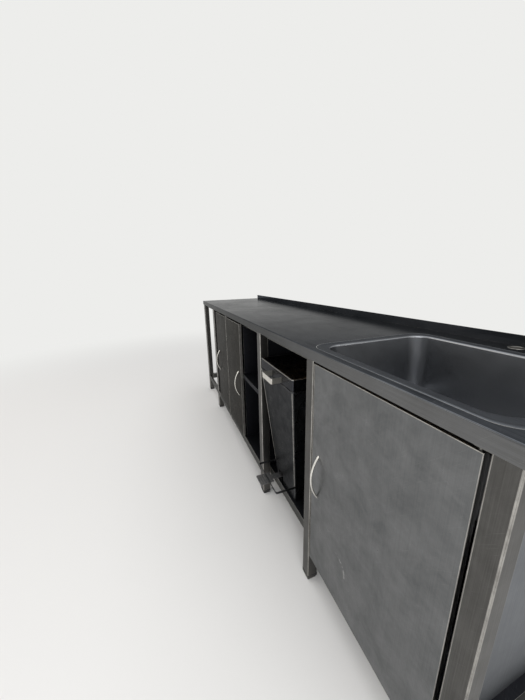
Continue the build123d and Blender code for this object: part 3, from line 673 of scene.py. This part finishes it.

# %% [markdown]
# ## The lid's hem
# The lid is a shallow tray whose top edge is folded back on itself. The fold is given a brighter steel than
# the sheet inside it. Its outside is a quarter circle of rings, and a flat flange runs from there inwards.

# %% Fold the lid's hem
lid_low, lid_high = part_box("bin_lid")
hem, hem_width, hem_lift, hem_lip = 2.5 * mm, 5 * mm, 0.3 * mm, 1 * mm
folded = round_edge(body_x - 2 * hem, body_y - 2 * hem, bin_corner - hem, hem, lid_high.z - hem, 0, 90)
folded += [(body_x - 2 * hem_width, body_y - 2 * hem_width, bin_corner / 4, lid_high.z + hem_lift),
           (body_x - 2 * hem_width, body_y - 2 * hem_width, bin_corner / 4, lid_high.z - hem_lip),
           (body_x - 2 * hem, body_y - 2 * hem, bin_corner - hem, lid_high.z - 2 * hem)]
piece(hoop(folded, bin_centre), "bin_lid_hem", "lid", hem_steel)

# %% [markdown]
# ## Studs, screws and welds
# Small round heads are a cone cut low and, for a screw, a recess pressed into its top. A weld is a row of small
# drops that run into each other. Each kind is one mesh, so that a hundred drops are still one piece.

# %% Round heads
head_taper, recess_rim = 0.72, 0.3      # the top's radius and the rim's width, as shares of the head's radius


def head(bm, place, outward, radius, height, recess=0.0):
    before = set(bm.verts)
    bmesh.ops.create_cone(bm, cap_ends=True, segments=16, radius1=radius, radius2=radius * head_taper,
                          depth=height)
    made = [v for v in bm.verts if v not in before]
    cap = max({f for v in made for f in v.link_faces}, key=lambda f: f.calc_center_median().z)
    if recess:
        bmesh.ops.inset_region(bm, faces=[cap], thickness=radius * recess_rim)
        bmesh.ops.translate(bm, vec=(0, 0, -recess), verts=list(cap.verts))
        made = [v for v in bm.verts if v not in before]
    turn = Vector((0, 0, 1)).rotation_difference(Vector(outward)).to_matrix()
    bmesh.ops.translate(bm, vec=(0, 0, height / 2), verts=made)
    bmesh.ops.rotate(bm, cent=(0, 0, 0), matrix=turn, verts=made)
    bmesh.ops.translate(bm, vec=place, verts=made)


print("a head's top is", head_taper, "of its foot")

# %% Rows of weld drops
drop_pitch, drop_depth = 1.2, 0.5      # the drops' spacing and depth, as shares of their radius


def weld(bm, start, end, radius):
    start, end = Vector(start), Vector(end)
    count = max(2, round((end - start).length / (radius * drop_pitch)))
    for k in range(count + 1):
        drop = bmesh.ops.create_icosphere(bm, subdivisions=1, radius=radius)
        bmesh.ops.scale(bm, vec=(1, drop_depth, 1), verts=drop["verts"])
        bmesh.ops.translate(bm, vec=start.lerp(end, k / count), verts=drop["verts"])


print("weld drops lie", drop_pitch, "radii apart")

# %% [markdown]
# ## Welds at the rails
# The front rails stand between the legs and are welded to them at both ends, and the beads are brushed but not
# ground away. One node holds several rails, so its mesh is walked from corner to corner along the edges until
# each rail's own box is known, and a bead runs up the front of both its ends.

# %% Boxes of the single solids


def solid_boxes(name):
    bm = bmesh.new()
    bm.from_mesh(nodes[name].data)
    bmesh.ops.remove_doubles(bm, verts=bm.verts[:], dist=same_place)
    boxes, left = [], set(bm.verts)
    while left:
        grown = [left.pop()]
        for vert in grown:
            for edge in vert.link_edges:
                other = edge.other_vert(vert)
                if other in left:
                    left.remove(other)
                    grown.append(other)
        sides = list(zip(*(v.co for v in grown)))
        boxes.append((Vector([min(s) for s in sides]), Vector([max(s) for s in sides])))
    bm.free()
    return sorted(boxes, key=lambda box: (box[0].x, box[0].y))


print("low front rails:", len(solid_boxes("low_rails_front")))

# %% Weld the front rails to the legs
bm = bmesh.new()
weld_radius, weld_short, drop_corners = 1.3 * mm, 2 * mm, 12
for name in ("top_rails_front", "low_rails_front", "low_rails_set_back"):
    for low, high in solid_boxes(name):
        for x in (low.x, high.x):
            weld(bm, (x, low.y, low.z + weld_short), (x, low.y, high.z - weld_short), weld_radius)
print("weld drops", len(bm.verts) // drop_corners)
piece(bm, "rail_welds", "counter", weld_steel)

# %% [markdown]
# ## Screws in the door bracket
# The low bracket of the paired doors is screwed to the rail and not welded, so that the doors can be set
# straight. Two heads with a recess show on its front plate.

# %% Screw the bracket on
bm = bmesh.new()
low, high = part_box("pivot_pair_low")
rail_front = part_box("low_rails_front")[0].y
screw_inset, screw_drop, plate = 9 * mm, 30 * mm, 3 * mm
screw_radius, screw_height, screw_recess = 3.6 * mm, 1.8 * mm, 0.9 * mm
for x in (low.x + screw_inset, high.x - screw_inset):
    head(bm, (x, rail_front - plate, high.z - screw_drop), (0, -1, 0), screw_radius, screw_height,
         recess=screw_recess)
piece(bm, "bracket_screws", "counter", small_steel)

# %% [markdown]
# ## Rivets and welds on the bin
# The bin's hinge is riveted, because its thin sheet would not hold a thread. The pull is a strap, welded to the
# front of the lid at both ends.

# %% Rivet the hinge
bm = bmesh.new()
rivet_rows, rivet_side, rivet_seat = (12 * mm, 26 * mm), 60 * mm, 0.6 * mm
rivet_radius, rivet_height = 3 * mm, 1.4 * mm
for z in [body_high.z - row for row in rivet_rows]:
    for side in (-1, 1):
        head(bm, (bin_centre.x + side * rivet_side, body_high.y - rivet_seat, z), (0, 1, 0), rivet_radius,
             rivet_height)
piece(bm, "bin_hinge_rivets", "counter", small_steel)

# %% Weld the strap
bm = bmesh.new()
pull_low, pull_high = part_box("bin_lid_pull")
strap_inset, strap_weld_radius = 1.5 * mm, 2.4 * mm
for x in (pull_low.x + strap_inset, pull_high.x - strap_inset):
    weld(bm, (x, lid_low.y, pull_low.z + weld_short), (x, lid_low.y, pull_high.z - weld_short),
         strap_weld_radius)
piece(bm, "strap_welds", "lid", weld_steel)

# %% [markdown]
# ## Door buffers
# Short rubber studs on the top rail stop each cupboard door from ringing when it shuts. They are the same round
# heads as the rivets, set out from each door's sides, and nearly as long as the gap behind the door.

# %% Stick on the door buffers
bm = bmesh.new()
buffer_inset, buffer_rise, buffer_radius, buffer_gap = 60 * mm, 6 * mm, 5 * mm, 0.5 * mm
rail_face, buffer_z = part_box("top_rails_front")[0].y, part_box("top_rails_front")[0].z + buffer_rise
for door in ("door_pair_near", "door_pair_far"):
    low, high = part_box(door)
    for x in (low.x + buffer_inset, high.x - buffer_inset):
        head(bm, (x, rail_face, buffer_z), (0, -1, 0), buffer_radius, rail_face - high.y - buffer_gap)
    print("behind", door, "the gap is", round((rail_face - high.y) / mm, 1), "mm")
piece(bm, "door_buffers", "counter", buffer_rubber)

# %% [markdown]
# ## Camera, floor and light
# The camera stands at the near end of the counter, a little in front of it and above it, and looks along it
# and down. Its wide lens takes in the whole run. The floor fades into a backdrop of the same pale colour, so
# that no horizon shows, and keeps the counter's shadow. Wide soft lamps light the front from both ends and the
# worktop from above, and one lower panel at the near end gives the tubes' near sides their shine.

# %% Camera
eye = (1.443, -0.6573, 1.110)      # in metres
yaw, pitch, roll = math.radians(20.262), math.radians(-14.801), math.radians(-1.319)
forward = Vector((-math.cos(yaw) * math.cos(pitch), math.sin(yaw) * math.cos(pitch), math.sin(pitch)))
level = Vector((math.sin(yaw), math.cos(yaw), 0))
above = level.cross(forward)
right = level * math.cos(roll) + above * math.sin(roll)
up = above * math.cos(roll) - level * math.sin(roll)
camera_data = bpy.data.cameras.new("camera")
camera_data.lens, camera_data.sensor_width = 14.209, 36
camera_data.clip_start = 0.01
camera = bpy.data.objects.new("camera", camera_data)
camera.matrix_world = Matrix((right, up, -forward)).transposed().to_4x4()
camera.location = eye
bpy.context.scene.collection.objects.link(camera)
bpy.context.scene.camera = camera
print("lens", camera_data.lens, "mm")

# %% World
backdrop_colour = linear("EDEDEB")
world = bpy.data.worlds.new("studio")
bpy.context.scene.world = world
world.use_nodes = True
tree = world.node_tree
tree.nodes.clear()
rays = add(tree, "ShaderNodeLightPath").outputs
seen = add(tree, "ShaderNodeMath", {0: rays["Is Camera Ray"], 1: rays["Is Glossy Ray"]}, operation="MAXIMUM")
seen = add(tree, "ShaderNodeMath", {0: seen.outputs[0], 1: rays["Is Transmission Ray"]}, operation="MAXIMUM")
lighting = add(tree, "ShaderNodeBackground", {"Color": linear("F2F3F5"), "Strength": 0.75})
backdrop = add(tree, "ShaderNodeBackground", {"Color": backdrop_colour, "Strength": 1.0})
both = add(tree, "ShaderNodeMixShader", {0: seen.outputs[0], 1: lighting.outputs[0], 2: backdrop.outputs[0]})
add(tree, "ShaderNodeOutputWorld", {"Surface": both.outputs[0]})
print("backdrop", [round(v, 2) for v in backdrop_colour[:3]])

# %% Floor
floor_half, fade_from, fade_to = 40, 1.8, 5.0      # in metres
bm = bmesh.new()
bmesh.ops.create_grid(bm, x_segments=1, y_segments=1, size=floor_half)
floor = put_in_scene(bm, "floor")
pale_floor, tree, paint, place = new_material("pale studio floor")
paint.inputs["Base Color"].default_value = linear("E4E3E1")
paint.inputs["Roughness"].default_value = 0.9
away = add(tree, "ShaderNodeVectorMath", {0: place}, operation="LENGTH").outputs["Value"]
far = add(tree, "ShaderNodeMapRange", {"Value": away, "From Min": fade_from, "From Max": fade_to},
          interpolation_type="SMOOTHSTEP").outputs[0]
rays = add(tree, "ShaderNodeLightPath").outputs
seen = add(tree, "ShaderNodeMath", {0: rays["Is Camera Ray"], 1: rays["Is Glossy Ray"]}, operation="MAXIMUM")
share = add(tree, "ShaderNodeMath", {0: far, 1: seen.outputs[0]}, operation="MULTIPLY")
glow = add(tree, "ShaderNodeEmission", {"Color": backdrop_colour, "Strength": 1.0})
mixed = add(tree, "ShaderNodeMixShader", {0: share.outputs[0], 1: paint.outputs[0], 2: glow.outputs[0]})
tree.links.new(mixed.outputs[0], tree.nodes["Material Output"].inputs["Surface"])
floor.data.materials.append(pale_floor)
floor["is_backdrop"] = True
print("floor fades from", fade_from, "to", fade_to, "m")

# %% Lamps


def lamp(name, place, target, size, power, colour, height=None):
    data = bpy.data.lights.new(name, "AREA")
    data.shape, data.size, data.energy, data.color = "RECTANGLE", size, power, linear(colour)[:3]
    data.size_y = height or size
    light = bpy.data.objects.new(name, data)
    light.location = place
    light.rotation_euler = (Vector(target) - Vector(place)).to_track_quat("-Z", "Y").to_euler()
    light.visible_camera = False
    bpy.context.scene.collection.objects.link(light)


lamp("near front", (3.3, -1.4, 2.2), (0.6, -0.2, 0.5), 2.4, 52, "FFFFFF")
lamp("far front", (-1.6, -3.4, 2.8), (-0.4, 0.0, 0.5), 2.6, 26, "FFF6EA")
lamp("overhead", (0.0, 0.3, 3.4), (0.0, 0.3, 0.6), 3.0, 30, "FFFFFF")
lamp("low panel", (4.2, 0.9, 1.7), (0.0, 0.0, 0.45), 2.4, 26, "FFFDF8", height=0.9)
bpy.context.scene.view_settings.view_transform = "Standard"
print(len(bpy.data.lights), "lamps")

# %% Measure and finish
low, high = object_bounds()
print("visual box grew by", [round(max(a - b, c - d) / mm, 2) for a, b, c, d in zip(cad_low, low, high, cad_high)])
